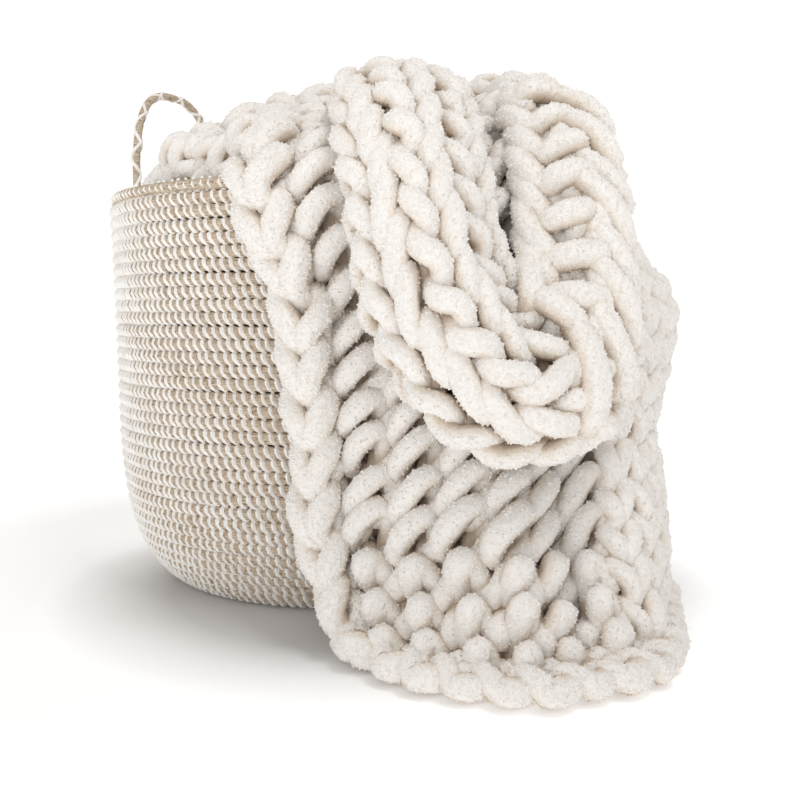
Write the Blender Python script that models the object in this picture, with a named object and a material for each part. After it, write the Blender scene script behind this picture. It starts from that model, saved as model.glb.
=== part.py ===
"""A chunky knit blanket heaped in a round coiled basket and draped over its rim.

Metres, +Z up. The origin is the centre of the basket's base on the floor, and +Y points away from
the side over which the blanket hangs. The blanket is one body: the folded part that fills the
basket, the panel that falls over the rim to the floor, and the fold that hangs in front of it.
"""
import math

import bpy
import numpy as np

MM = 0.001

# Basket: coils of grass sewn into a round wall, with a flat base and a rounded lower edge
RIM_HEIGHT = 0.370
RIM_RADIUS = 0.235
WALL = 0.010
BASE_THICKNESS = 0.010
BASKET_STEPS = 48
# outer profile from the base up: height mm, radius mm
BASKET_PROFILE = (
    (0, 172),
    (4, 183),
    (16, 196),
    (35, 209),
    (62, 219),
    (98, 226),
    (150, 230),
    (240, 231.5),
    (310, 233),
    (362, 235),
)

# Handle: a short rope of two strands, twisted, standing on the rim at the far left
ROPE_RADIUS = 0.0046
ROPE_LOBE = 0.16
ROPE_TURNS = 9.0
ROPE_SIDES = 10
ROPE_STEPS = 60
HANDLE_HEIGHT = 0.127
HANDLE_FEET = (167.0, 133.0)
HANDLE_SQUARENESS = 0.72
HANDLE_LEAN = 0.006
SEAT_GAP = 0.0003

# Blanket: knitted cloth with its columns of stitches raised as ribs. Tapers are shares of the
# cloth's thickness at its ends and at the first two places in from its sides.
CLOTH = 0.036
RIB = 0.005
SAMPLES_PER_COLUMN = 4
END_TAPER = 0.6
SIDE_TAPER = (0.45, 0.88)
FINE_STEPS = 200
PANEL_COLUMNS = 12
PANEL_ROWS = 19
SWAG_COLUMNS = 5
SWAG_ROWS = 26
EDGE_CLEARANCE = 0.0025
CLEARED_HEIGHTS = (0.310, 0.275)
BUNDLE_HEIGHTS = (0.030, 0.062, 0.098, 0.150, 0.240, 0.310, 0.362)
BUNDLE_SLACK = 0.004
BUNDLE_STEPS = 48
HEAP_RINGS = 9
HEAP_CREST = -0.02
HEAP_DEPTH = 0.245
HEAP_FOLD = 0.011
HEAP_FOLD_PITCH = 0.085

# skyline of the heap as seen from the front: across mm, height mm
SKYLINE = (
    (-240, 352),
    (-192, 366),
    (-165, 396),
    (-130, 422),
    (-75, 450),
    (-20, 462),
    (30, 492),
    (65, 482),
    (95, 460),
    (140, 478),
    (185, 478),
    (215, 455),
    (240, 410),
)

# Lines of the panel from its left edge to its right edge. Each crosses the rim at its own angle,
# in degrees from +X, and then falls through these places: across mm, back mm, height mm
PANEL_LINES = (
    ("edge", -110, ((-62, -256, 280), (-52, -262, 215), (-44, -262, 155), (-42, -264, 100),
                    (-24, -272, 52), (-6, -288, 16), (6, -312, 9))),
    ("second", -101, ((-26, -262, 280), (-12, -268, 215), (-4, -272, 155), (0, -280, 100),
                      (12, -300, 52), (24, -332, 16), (36, -356, 9))),
    ("third", -91, ((12, -258, 280), (26, -266, 215), (34, -282, 160), (38, -300, 105),
                    (50, -326, 54), (60, -360, 16), (68, -384, 9))),
    ("fourth", -79, ((58, -248, 280), (64, -264, 218), (70, -290, 160), (76, -318, 108),
                     (86, -346, 56), (95, -376, 16), (102, -400, 9))),
    ("crest", -65, ((102, -236, 280), (110, -256, 218), (115, -286, 160), (119, -320, 112),
                    (126, -350, 58), (131, -382, 16), (134, -406, 9))),
    ("valley", -45, ((164, -222, 280), (166, -238, 215), (168, -258, 155), (166, -288, 100),
                     (163, -330, 50), (160, -368, 16), (159, -396, 9))),
    ("after valley", -28, ((224, -196, 285), (216, -224, 215), (210, -250, 155), (202, -284, 105),
                           (194, -326, 54), (190, -360, 16), (186, -384, 9))),
    ("right", -16, ((276, -132, 276), (268, -170, 215), (248, -208, 158), (238, -252, 105),
                    (227, -302, 54), (221, -338, 16), (216, -358, 9))),
    ("far right", -6, ((308, -78, 276), (292, -122, 215), (268, -160, 160), (264, -198, 108),
                       (256, -238, 56), (250, -266, 16), (246, -284, 9))),
    ("back", 6, ((316, -24, 276), (304, -68, 220), (282, -108, 165), (280, -138, 110),
                 (276, -168, 56), (272, -186, 16), (268, -198, 9))),
)
# where every line of the panel crosses the rim: radius m, height m
PANEL_INNER = (0.180, 0.402)
PANEL_OVER_RIM = (0.232, 0.393)
PANEL_SHOULDER = (0.264, 0.350)

# Lines of the hanging fold, from the lip of its turned-under edge to the middle of its hollow.
# Each is a U seen from the front, from the top of its left arm to the top of its right arm, in
# the same sizes. The last one runs behind them all and closes the fold against the panel.
SWAG_LINES = (
    ("lip", ((-14, -140, 440), (-12, -226, 432), (-6, -280, 392), (-3, -298, 345), (2, -308, 296),
             (12, -318, 250), (32, -328, 206), (62, -338, 174), (102, -344, 156),
             (142, -338, 156), (176, -318, 166), (198, -290, 198), (206, -266, 244),
             (204, -248, 300), (198, -222, 356), (196, -176, 408), (196, -112, 424))),
    ("first", ((22, -110, 466), (24, -234, 452), (28, -300, 402), (34, -330, 346),
               (44, -346, 298), (60, -358, 258), (82, -366, 224), (106, -370, 200),
               (132, -368, 190), (158, -354, 196), (178, -330, 214), (190, -304, 246),
               (194, -280, 286), (190, -252, 332), (186, -216, 382), (186, -166, 424),
               (186, -98, 442))),
    ("second", ((62, -84, 478), (62, -216, 460), (64, -286, 408), (70, -316, 354),
                (80, -332, 310), (92, -342, 276), (108, -348, 250), (124, -350, 234),
                (142, -344, 230), (158, -328, 238), (170, -308, 256), (178, -286, 286),
                (180, -264, 318), (178, -236, 356), (176, -204, 396), (176, -152, 432),
                (176, -88, 452))),
    ("hollow", ((112, -50, 462), (112, -170, 446), (114, -236, 394), (117, -262, 352),
                (121, -273, 326), (126, -279, 306), (131, -281, 296), (136, -281, 292),
                (141, -279, 294), (146, -272, 302), (149, -260, 318), (151, -246, 338),
                (151, -228, 362), (150, -204, 386), (148, -170, 412), (146, -122, 434),
                (144, -62, 448))),
)
# the back of the fold behind each place of the lip: across mm, back mm, height mm
SWAG_BACK = ((10, -60, 404), (12, -160, 400), (16, -216, 376), (20, -240, 342), (26, -254, 300),
             (36, -262, 262), (52, -270, 232), (76, -276, 208), (106, -276, 194),
             (138, -268, 192), (162, -252, 200), (178, -232, 222), (184, -214, 256),
             (182, -196, 304), (176, -170, 352), (174, -124, 384), (172, -64, 396))


def material(name, colour, roughness):
    """A plain surface with the part's own colour."""
    surface = bpy.data.materials.new(name)
    surface.use_nodes = True
    shader = surface.node_tree.nodes["Principled BSDF"]
    shader.inputs["Base Color"].default_value = (*colour, 1.0)
    shader.inputs["Roughness"].default_value = roughness
    shader.inputs["Metallic"].default_value = 0.0
    return surface


def add_object(name, points, faces, surface=None):
    """A named object from points and faces, shaded smooth where it has a surface to show."""
    mesh = bpy.data.meshes.new(name)
    mesh.from_pydata([tuple(point) for point in points], [], faces)
    mesh.validate()
    body = bpy.data.objects.new(name, mesh)
    bpy.context.scene.collection.objects.link(body)
    if surface is not None:
        mesh.materials.append(surface)
        mesh.shade_smooth()
        mesh.set_sharp_from_angle(angle=math.radians(50))
    return body


def smooth_line(stations, count):
    """Count + 1 points on a smooth curve through the stations (Catmull-Rom)."""
    knots = np.asarray(stations, float)
    padded = np.vstack([2 * knots[0] - knots[1], knots, 2 * knots[-1] - knots[-2]])
    places = np.linspace(0, len(knots) - 1, count + 1)
    start = np.minimum(places.astype(int), len(knots) - 2)
    t = (places - start)[:, None]
    a, b, c, d = (padded[start + shift] for shift in range(4))
    bend = -a + 3 * b - 3 * c + d
    return b + 0.5 * t * (c - a + t * (2 * a - 5 * b + 4 * c - d + t * bend))


def even_line(stations, count):
    """Count + 1 points at even distances along the smooth curve through the stations."""
    fine = smooth_line(stations, FINE_STEPS)
    lengths = np.linalg.norm(np.diff(fine, axis=0), axis=1)
    reached = np.concatenate([[0], np.cumsum(lengths)])
    even = np.linspace(0, reached[-1], count + 1)
    return np.stack([np.interp(even, reached, fine[:, axis]) for axis in range(3)], axis=1)


def smooth_surface(lines, across, along):
    """Evenly spaced points through all lines, indexed [across][along], and their normals."""
    down = np.array([even_line(line, along) for line in lines])
    grid = np.stack([even_line(down[:, j], across) for j in range(along + 1)], axis=1)
    normals = np.cross(np.gradient(grid, axis=1), np.gradient(grid, axis=0))
    normals /= np.linalg.norm(normals, axis=2, keepdims=True)
    return grid, normals


def ring_faces(rings, size):
    """Faces that join closed rings of points, with both end rings filled."""
    faces = []
    for ring in range(rings - 1):
        for step in range(size):
            after = (step + 1) % size
            low, high = ring * size, (ring + 1) * size
            faces.append((low + step, low + after, high + after, high + step))
    faces.append(tuple(reversed(range(size))))
    faces.append(tuple(range((rings - 1) * size, rings * size)))
    return faces


def knitted_sheet(name, lines, columns, rows):
    """A thick sheet of cloth whose front has one rib for each column of stitches."""
    across = columns * SAMPLES_PER_COLUMN
    grid, normals = smooth_surface(lines, across, rows)
    place = np.arange(across + 1) / SAMPLES_PER_COLUMN
    rib = RIB * (0.5 - 0.5 * np.cos(2 * math.pi * place)) - 0.5 * RIB
    half = np.full(across + 1, 0.5 * CLOTH)
    half[[0, -1]] *= SIDE_TAPER[0]
    half[[1, -2]] *= SIDE_TAPER[1]
    points = []
    for row in range(rows + 1):
        taper = END_TAPER if row in (0, rows) else 1.0
        reach = (taper * half)[:, None]
        raised = (taper * rib)[:, None]
        front = grid[:, row] + normals[:, row] * (reach + raised)
        back = grid[:, row] - normals[:, row] * reach
        ring = np.vstack([back, front[::-1]])
        ring[:, 2] = np.maximum(ring[:, 2], 0.0)
        points.extend(ring)
    size = 2 * (across + 1)
    faces = ring_faces(rows + 1, size)[:-2]
    last = rows * size
    for step in range(across):
        back_step = size - 1 - step
        faces.append((step + 1, step, back_step, back_step - 1))
        faces.append((last + step, last + step + 1, last + back_step - 1, last + back_step))
    return add_object(name, points, faces)


def filled_fold(name, lines, back_line, columns, rows):
    """A hanging fold, filled by its own turned-under cloth, ribbed on its front."""
    across = columns * SAMPLES_PER_COLUMN
    grid, normals = smooth_surface(lines, across, rows)
    back = even_line(back_line, rows)
    place = np.arange(across + 1) / SAMPLES_PER_COLUMN
    rib = RIB * (0.5 - 0.5 * np.cos(2 * math.pi * place))
    points = []
    for row in range(rows + 1):
        front = grid[:, row] + normals[:, row] * rib[:, None]
        closing = [0.5 * (front[-1] + back[row]), back[row], 0.5 * (back[row] + front[0])]
        points.extend(np.vstack([front, closing])[::-1])
    size = across + 4
    faces = ring_faces(rows + 1, size)[:-2]
    for row, turn in ((0, -1), (rows, 1)):
        ring = [row * size + step for step in range(size)]
        middle = len(points)
        points.append(np.mean([points[corner] for corner in ring], axis=0))
        for corner, following in zip(ring, ring[1:] + ring[:1]):
            faces.append((corner, following, middle)[::turn])
    return add_object(name, points, faces)


def basket_radius(height):
    """Outer radius of the basket's wall at a height."""
    heights, radii = zip(*BASKET_PROFILE)
    return MM * float(np.interp(height / MM, heights, radii))


def turned(name, profile, steps, surface=None):
    """A closed body turned round the Z axis from a profile that starts and ends on the axis."""
    rings = []
    for radius, height in profile[1:-1]:
        angles = [2 * math.pi * step / steps for step in range(steps)]
        rings.extend((radius * math.cos(a), radius * math.sin(a), height) for a in angles)
    faces = ring_faces(len(profile) - 2, steps)[:-2]
    points = rings + [(0, 0, profile[0][1]), (0, 0, profile[-1][1])]
    bottom, top = len(points) - 2, len(points) - 1
    last = (len(profile) - 3) * steps
    for step in range(steps):
        after = (step + 1) % steps
        faces.append((bottom, after, step))
        faces.append((top, last + step, last + after))
    return add_object(name, points, faces, surface)


def make_basket():
    """The plain wall and base of the basket, with a rounded rim."""
    outside = [(MM * radius, MM * height) for height, radius in BASKET_PROFILE]
    middle = RIM_RADIUS - 0.5 * WALL
    rim = []
    for turn in (35, 90, 145):
        angle = math.radians(turn)
        rim.append((middle + 0.5 * WALL * math.cos(angle),
                    RIM_HEIGHT - 0.5 * WALL * (1 - math.sin(angle))))
    inside = []
    for radius, height in reversed(outside[3:]):
        inside.append((radius - WALL, height))
    inside.append((MM * BASKET_PROFILE[2][1] - WALL, BASE_THICKNESS + 0.010))
    inside.append((MM * BASKET_PROFILE[0][1] - WALL, BASE_THICKNESS))
    profile = [(0, 0)] + outside + rim + inside + [(0, BASE_THICKNESS)]
    grass = material("coiled grass and pale strips", (0.80, 0.70, 0.56), 0.75)
    return turned("basket", profile, BASKET_STEPS, grass)


def handle_line(count):
    """Points of the rope's middle line, an arch over two feet on the rim."""
    middle_radius = RIM_RADIUS - 0.5 * WALL
    feet = []
    for turn in HANDLE_FEET:
        angle = math.radians(turn)
        feet.append(np.array([math.cos(angle), math.sin(angle), 0.0]) * middle_radius)
    centre = 0.5 * (feet[0] + feet[1])
    half = 0.5 * (feet[1] - feet[0])
    outward = centre / np.linalg.norm(centre)
    foot_height = RIM_HEIGHT + SEAT_GAP
    points = []
    for step in range(count + 1):
        angle = math.pi * step / count
        side = -math.copysign(abs(math.cos(angle)) ** HANDLE_SQUARENESS, math.cos(angle))
        lift = math.sin(angle) ** HANDLE_SQUARENESS
        point = centre + half * side + outward * HANDLE_LEAN * lift
        point[2] = foot_height + HANDLE_HEIGHT * lift
        points.append(point)
    line = np.array(points)
    length = np.concatenate([[0], np.cumsum(np.linalg.norm(np.diff(line, axis=0), axis=1))])
    even = np.linspace(0, length[-1], count + 1)
    return np.stack([np.interp(even, length, line[:, axis]) for axis in range(3)], axis=1)


def make_handle():
    """The twisted rope handle, its two strands raised as a spiral."""
    line = handle_line(ROPE_STEPS)
    plane = np.cross(line[-1] - line[0], (0, 0, 1))
    plane /= np.linalg.norm(plane)
    points = []
    for step, centre in enumerate(line):
        ahead = line[min(step + 1, ROPE_STEPS)] - line[max(step - 1, 0)]
        if step in (0, ROPE_STEPS):
            ahead = np.array([0, 0, 1.0 if step == 0 else -1.0])
        ahead = ahead / np.linalg.norm(ahead)
        side = np.cross(plane, ahead)
        twist = 2 * math.pi * ROPE_TURNS * step / ROPE_STEPS
        for corner in range(ROPE_SIDES):
            angle = 2 * math.pi * corner / ROPE_SIDES
            radius = ROPE_RADIUS * (1 - ROPE_LOBE + ROPE_LOBE * math.cos(2 * angle - twist))
            points.append(centre + radius * (math.cos(angle) * side + math.sin(angle) * plane))
    faces = ring_faces(ROPE_STEPS + 1, ROPE_SIDES)
    rope = material("brown and cream rope", (0.55, 0.42, 0.30), 0.8)
    return add_object("handle", points, faces, rope)


def heap_height(across, back):
    """Height of the heaped cloth above a place inside the rim."""
    places, heights = zip(*SKYLINE)
    skyline = MM * float(np.interp(across / MM, places, heights))
    fall = math.cos(0.5 * math.pi * min(1.0, abs(back - HEAP_CREST) / HEAP_DEPTH))
    low = min(RIM_HEIGHT + 0.012, skyline)
    fold = HEAP_FOLD * math.sin(2 * math.pi * (back - 0.5 * across) / HEAP_FOLD_PITCH)
    return low + (skyline - low) * fall + fold * fall


def make_bundle():
    """The folded cloth that fills the basket and stands above its rim as a heap."""
    low = BASE_THICKNESS + SEAT_GAP
    wall = [(MM * BASKET_PROFILE[0][1] - WALL - BUNDLE_SLACK, low)]
    for height in BUNDLE_HEIGHTS:
        wall.append((basket_radius(height) - WALL - BUNDLE_SLACK, height))
    rings = []
    angles = [2 * math.pi * step / BUNDLE_STEPS for step in range(BUNDLE_STEPS)]
    for radius, height in wall:
        rings.extend((radius * math.cos(a), radius * math.sin(a), height) for a in angles)
    edge = wall[-1][0]
    for ring in range(HEAP_RINGS):
        radius = edge * (1 - (ring + 0.35) / (HEAP_RINGS + 0.35))
        for a in angles:
            across, back = radius * math.cos(a), radius * math.sin(a)
            rings.append((across, back, heap_height(across, back)))
    count = len(wall) + HEAP_RINGS
    faces = ring_faces(count, BUNDLE_STEPS)[:-2]
    points = rings + [(0, 0, low), (0, 0, heap_height(0, 0))]
    bottom, top = len(points) - 2, len(points) - 1
    last = (count - 1) * BUNDLE_STEPS
    for step in range(BUNDLE_STEPS):
        after = (step + 1) % BUNDLE_STEPS
        faces.append((bottom, after, step))
        faces.append((top, last + step, last + after))
    yarn = material("cream plush yarn", (0.87, 0.84, 0.79), 0.95)
    return add_object("blanket", points, faces, yarn)


def panel_lines():
    """The lines of the panel, each led from the heap over the rim and then down."""
    lines = []
    for _, angle, falls in PANEL_LINES:
        turn = math.radians(angle)
        line = []
        for radius, height in (PANEL_INNER, PANEL_OVER_RIM, PANEL_SHOULDER):
            line.append((radius * math.cos(turn), radius * math.sin(turn), height))
        line.extend(tuple(MM * size for size in place) for place in falls)
        lines.append(line)
    return lines


def make_swag():
    """The fold that hangs in nested curves in front of the panel."""
    lines = [MM * np.array(places) for _, places in SWAG_LINES]
    return filled_fold("swag", lines, MM * np.array(SWAG_BACK), SWAG_COLUMNS, SWAG_ROWS)


def combine(body, tool, operation):
    """Join or cut a body with a helper, which is then hidden."""
    step = body.modifiers.new(tool.name, "BOOLEAN")
    step.operation = operation
    step.solver = "EXACT"
    step.object = tool
    tool.hide_render = True
    tool.display_type = "WIRE"


def rim_clearance():
    """The room that the cloth leaves round the top of the wall, the wall grown on its sides."""
    top = RIM_HEIGHT + EDGE_CLEARANCE
    outline = [(RIM_RADIUS - WALL - EDGE_CLEARANCE, top)]
    for height in CLEARED_HEIGHTS:
        outline.append((basket_radius(height) - WALL - EDGE_CLEARANCE, height))
    for height in reversed(CLEARED_HEIGHTS):
        outline.append((basket_radius(height) + EDGE_CLEARANCE, height))
    outline.append((RIM_RADIUS + EDGE_CLEARANCE, top))
    points = []
    for radius, height in outline:
        for step in range(BASKET_STEPS):
            angle = 2 * math.pi * step / BASKET_STEPS
            points.append((radius * math.cos(angle), radius * math.sin(angle), height))
    faces = []
    for ring in range(len(outline)):
        low, high = ring * BASKET_STEPS, (ring + 1) % len(outline) * BASKET_STEPS
        for step in range(BASKET_STEPS):
            after = (step + 1) % BASKET_STEPS
            faces.append((low + step, low + after, high + after, high + step))
    return add_object("rim clearance", points, faces)


def make_blanket():
    """The whole blanket as one body."""
    blanket = make_bundle()
    combine(blanket, knitted_sheet("panel", panel_lines(), PANEL_COLUMNS, PANEL_ROWS), "UNION")
    combine(blanket, make_swag(), "UNION")
    combine(blanket, rim_clearance(), "DIFFERENCE")
    return blanket


for item in list(bpy.data.objects):
    bpy.data.objects.remove(item, do_unlink=True)

make_basket()
make_handle()
make_blanket()
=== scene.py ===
# %% [markdown]
# # A chunky knit blanket in a coiled basket
# The imported solids give the place and size of each piece. This lesson dresses them: every stitch
# of the blanket is a real loop of plush yarn, and every coil of the basket is wrapped by hand-sewn
# strips. We load the frame first.

# %% Load the frame
import math

import bpy
import numpy as np
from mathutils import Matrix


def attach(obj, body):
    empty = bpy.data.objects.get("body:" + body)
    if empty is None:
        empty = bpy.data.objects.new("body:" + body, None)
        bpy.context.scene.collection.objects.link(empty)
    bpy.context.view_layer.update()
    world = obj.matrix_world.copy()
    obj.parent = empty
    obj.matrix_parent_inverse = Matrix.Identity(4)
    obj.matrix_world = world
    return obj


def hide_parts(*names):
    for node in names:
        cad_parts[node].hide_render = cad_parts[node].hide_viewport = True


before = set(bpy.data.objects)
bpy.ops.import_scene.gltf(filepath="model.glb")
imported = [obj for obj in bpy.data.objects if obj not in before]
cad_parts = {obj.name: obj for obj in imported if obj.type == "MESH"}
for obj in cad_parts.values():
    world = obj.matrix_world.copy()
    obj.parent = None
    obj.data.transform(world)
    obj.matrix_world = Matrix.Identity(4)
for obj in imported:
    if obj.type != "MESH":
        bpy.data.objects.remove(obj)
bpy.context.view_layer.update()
MM = 0.001
SEED = 11
random = np.random.default_rng(SEED)

# %% [markdown]
# The camera stands low, a little under the basket's rim, about one metre from its middle. A floor that
# is almost white, a pale world and large soft lamps give the plain studio light. The floor also glows,
# more the further it lies from the basket: painted light that keeps it white and lets the basket's
# shadow fade out.

# %% Camera, floor and light
FRAME_WIDTH = 800
FOCAL_PIXELS = 983
EYE = (0.0, -1.020, 0.261)
TURN_RIGHT = math.atan(50 / FOCAL_PIXELS)
TURN_DOWN = math.atan(89 / FOCAL_PIXELS)
SENSOR = 36.0

scene = bpy.context.scene
camera_data = bpy.data.cameras.new("view")
camera_data.sensor_width = SENSOR
camera_data.lens = FOCAL_PIXELS / FRAME_WIDTH * SENSOR
camera_data.clip_start = 0.01
camera = bpy.data.objects.new("view", camera_data)
camera.location = EYE
camera.rotation_euler = (0.5 * math.pi - TURN_DOWN, 0.0, -TURN_RIGHT)
scene.collection.objects.link(camera)
scene.camera = camera


def add_lamp(name, place, target, size, power, colour):
    """A large square lamp that faces a target."""
    lamp = bpy.data.lights.new(name, "AREA")
    lamp.size = size
    lamp.energy = power
    lamp.color = colour
    lamp_object = bpy.data.objects.new(name, lamp)
    lamp_object.location = place
    direction = np.array(target) - np.array(place)
    heading = math.atan2(direction[1], direction[0])
    drop = math.atan2(-direction[2], math.hypot(direction[0], direction[1]))
    lamp_object.rotation_euler = (0.5 * math.pi - drop, 0.0, heading - 0.5 * math.pi)
    scene.collection.objects.link(lamp_object)


LAMPS = (
    # name, place, size, power, colour
    ("key", (0.50, -0.75, 1.9), 0.6, 10.0, (1.0, 1.0, 1.0)),
    ("front", (-0.9, -2.0, 0.55), 1.4, 11.0, (1.0, 1.0, 1.0)),
    ("back", (0.6, 1.1, 1.6), 0.8, 7.0, (1.0, 1.0, 1.0)),
)
for lamp_name, place, size, power, colour in LAMPS:
    add_lamp(lamp_name, place, (0.05, -0.1, 0.22), size, power, colour)

world = bpy.data.worlds.new("studio")
world.use_nodes = True
WORLD_LIGHT = 0.44
background = world.node_tree.nodes["Background"]
background.inputs["Color"].default_value = (1.0, 0.975, 0.945, 1.0)
ray = world.node_tree.nodes.new("ShaderNodeLightPath")
brightness = world.node_tree.nodes.new("ShaderNodeMapRange")
brightness.inputs["To Min"].default_value = WORLD_LIGHT
brightness.inputs["To Max"].default_value = 1.1
world.node_tree.links.new(ray.outputs["Is Camera Ray"], brightness.inputs["Value"])
world.node_tree.links.new(brightness.outputs["Result"], background.inputs["Strength"])
scene.world = world
scene.view_settings.view_transform = "Standard"

FLOOR_HALF = 30.0
floor_mesh = bpy.data.meshes.new("floor")
corners = [(-FLOOR_HALF, -FLOOR_HALF, 0), (FLOOR_HALF, -FLOOR_HALF, 0),
           (FLOOR_HALF, FLOOR_HALF, 0), (-FLOOR_HALF, FLOOR_HALF, 0)]
floor_mesh.from_pydata(corners, [], [(0, 1, 2, 3)])
floor = bpy.data.objects.new("floor", floor_mesh)
scene.collection.objects.link(floor)

# %% [markdown]
# Materials come next, because each piece takes its own as it is made. A small helper starts a
# material, and another adds noise on Object coordinates.


# %% Material helpers
def new_material(name, roughness, sheen=0.0):
    """A material with its shader, and the numbers that are the same all over it."""
    material = bpy.data.materials.new(name)
    material.use_nodes = True
    shader = material.node_tree.nodes["Principled BSDF"]
    shader.inputs["Roughness"].default_value = roughness
    shader.inputs["Specular IOR Level"].default_value = 0.25
    if sheen:
        shader.inputs["Sheen Weight"].default_value = sheen
        shader.inputs["Sheen Roughness"].default_value = 0.6
        shader.inputs["Sheen Tint"].default_value = (1.0, 0.98, 0.95, 1.0)
    return material, material.node_tree, shader


def add_noise(tree, scale, detail=2.0, roughness=0.55, stretch=(1.0, 1.0, 1.0), vector=None):
    """Noise on Object coordinates; the result is its output socket."""
    if vector is None:
        vector = tree.nodes.new("ShaderNodeTexCoord").outputs["Object"]
    mapping = tree.nodes.new("ShaderNodeMapping")
    mapping.inputs["Scale"].default_value = stretch
    tree.links.new(vector, mapping.inputs["Vector"])
    noise = tree.nodes.new("ShaderNodeTexNoise")
    noise.inputs["Scale"].default_value = scale
    noise.inputs["Detail"].default_value = detail
    noise.inputs["Roughness"].default_value = roughness
    tree.links.new(mapping.outputs["Vector"], noise.inputs["Vector"])
    return noise.outputs["Fac"]


def add_ramp(tree, value, stops):
    """A colour ramp over a value; stops are (place, colour)."""
    ramp = tree.nodes.new("ShaderNodeValToRGB")
    ramp.color_ramp.elements[0].position = stops[0][0]
    ramp.color_ramp.elements[0].color = (*stops[0][1], 1.0)
    ramp.color_ramp.elements[1].position = stops[-1][0]
    ramp.color_ramp.elements[1].color = (*stops[-1][1], 1.0)
    for place, colour in stops[1:-1]:
        element = ramp.color_ramp.elements.new(place)
        element.color = (*colour, 1.0)
    tree.links.new(value, ramp.inputs["Fac"])
    return ramp.outputs["Color"]


def add_bump(tree, shader, height, strength, distance, below=None):
    """A bump on the shader's normal, over an earlier bump where one is given."""
    bump = tree.nodes.new("ShaderNodeBump")
    bump.inputs["Strength"].default_value = strength
    bump.inputs["Distance"].default_value = distance
    tree.links.new(height, bump.inputs["Height"])
    if below is not None:
        tree.links.new(below, bump.inputs["Normal"])
    tree.links.new(bump.outputs["Normal"], shader.inputs["Normal"])
    return bump.outputs["Normal"]


floor_material, floor_tree, floor_shader = new_material("pale floor", 0.9)
floor_shader.inputs["Base Color"].default_value = (0.80, 0.80, 0.80, 1.0)
floor_shader.inputs["Emission Color"].default_value = (1.0, 1.0, 1.0, 1.0)
# Painted light: the floor glows, not at all near the basket and fully further out, so that it reads
# white and the basket's shadow fades where the glow begins.
GLOW_MIDDLE = (0.04, -0.08, 0.0)
GLOW_STEPS = (
    # distances where a glow begins and is full, and its strength
    (0.21, 0.32, 0.42),
    (0.5, 1.6, 0.46),
)
floor_place = floor_tree.nodes.new("ShaderNodeTexCoord")
floor_distance = floor_tree.nodes.new("ShaderNodeVectorMath")
floor_distance.operation = "DISTANCE"
floor_distance.inputs[1].default_value = GLOW_MIDDLE
floor_tree.links.new(floor_place.outputs["Object"], floor_distance.inputs[0])
floor_sum = floor_tree.nodes.new("ShaderNodeMath")
for socket, (begin, full, strength) in zip(floor_sum.inputs, GLOW_STEPS):
    glow = floor_tree.nodes.new("ShaderNodeMapRange")
    glow.inputs["From Min"].default_value = begin
    glow.inputs["From Max"].default_value = full
    glow.inputs["To Max"].default_value = strength
    floor_tree.links.new(floor_distance.outputs["Value"], glow.inputs["Value"])
    floor_tree.links.new(glow.outputs["Result"], socket)
floor_tree.links.new(floor_sum.outputs["Value"], floor_shader.inputs["Emission Strength"])
floor_mesh.materials.append(floor_material)

# %% [markdown]
# Plush yarn is a thin core with thousands of short fibres that stand out of it. From a step away
# it is matt and almost white, with a fine speckle where tufts part, and its edge catches the light
# like velvet. Two scales of bump make the tufts, and sheen gives the light edge. The speckle is a
# darker cream laid where the bump sinks: partly the yarn's uneven tone, partly painted shade between
# tufts. Deep between the loops little light arrives and the yarn looks warm and brown; that is painted
# shade: the mesh keeps how far each place lies open in an attribute named "exposed", and a ramp of
# painted shade colours darkens the yarn's own colour by it.

# %% Plush yarn
LIGHT_CREAM = (0.92, 0.90, 0.875)
# DARK_CREAM lies where the bump sinks between tufts: partly the yarn's uneven tone, partly painted
# shade.
DARK_CREAM = (0.83, 0.78, 0.72)
PAINTED_SHADE_COLOURS = (
    # how far a place lies open to the light, and the painted shade that leaves of its colour
    (0.0, (0.42, 0.32, 0.24)),
    (0.3, (0.68, 0.59, 0.50)),
    (0.65, (0.92, 0.87, 0.81)),
    (0.95, (1.0, 1.0, 1.0)),
)


def make_plush(name, light, dark):
    """The finish of the blanket's yarn and of its pile, with painted shade between tufts and deep in the
    cloth.
    """
    material, tree, shader = new_material(name, 0.95, sheen=0.12)
    clumps = add_noise(tree, 260.0, 3.0, 0.65)
    tufts = add_noise(tree, 700.0, 2.0, 0.6)
    blend = tree.nodes.new("ShaderNodeMath")
    blend.operation = "MULTIPLY"
    tree.links.new(clumps, blend.inputs[0])
    tree.links.new(tufts, blend.inputs[1])
    # Partly painted shade: the colour is darker where the bump height is low, between tufts.
    tone_and_tuft_shade = add_ramp(tree, blend.outputs[0], ((0.12, dark), (0.3, light)))
    # Painted shade: the "exposed" attribute darkens the colour towards warm brown deep between the
    # loops.
    exposed = tree.nodes.new("ShaderNodeAttribute")
    exposed.attribute_name = "exposed"
    painted_shade = add_ramp(tree, exposed.outputs["Fac"], PAINTED_SHADE_COLOURS)
    mix = tree.nodes.new("ShaderNodeMix")
    mix.data_type = "RGBA"
    mix.blend_type = "MULTIPLY"
    mix.inputs["Factor"].default_value = 1.0
    tree.links.new(tone_and_tuft_shade, mix.inputs["A"])
    tree.links.new(painted_shade, mix.inputs["B"])
    tree.links.new(mix.outputs["Result"], shader.inputs["Base Color"])
    first = add_bump(tree, shader, clumps, 0.5, 0.002)
    add_bump(tree, shader, tufts, 0.4, 0.0008, first)
    return material


plush = make_plush("plush yarn", LIGHT_CREAM, DARK_CREAM)
print("made", plush.name)

# %% [markdown]
# The blanket hangs on smooth surfaces through a few lines, the same ones as in the
# part's source. `smooth_line` passes through its stations, `even_line` spaces points evenly, so that
# all stitches get the same size, and `Surface` gives any place on the cloth, at any lift above it.

# %% Smooth surfaces
FINE_STEPS = 200
COLUMN = 0.036
CROWDED = 0.5
ROOMY = 1.15


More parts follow.
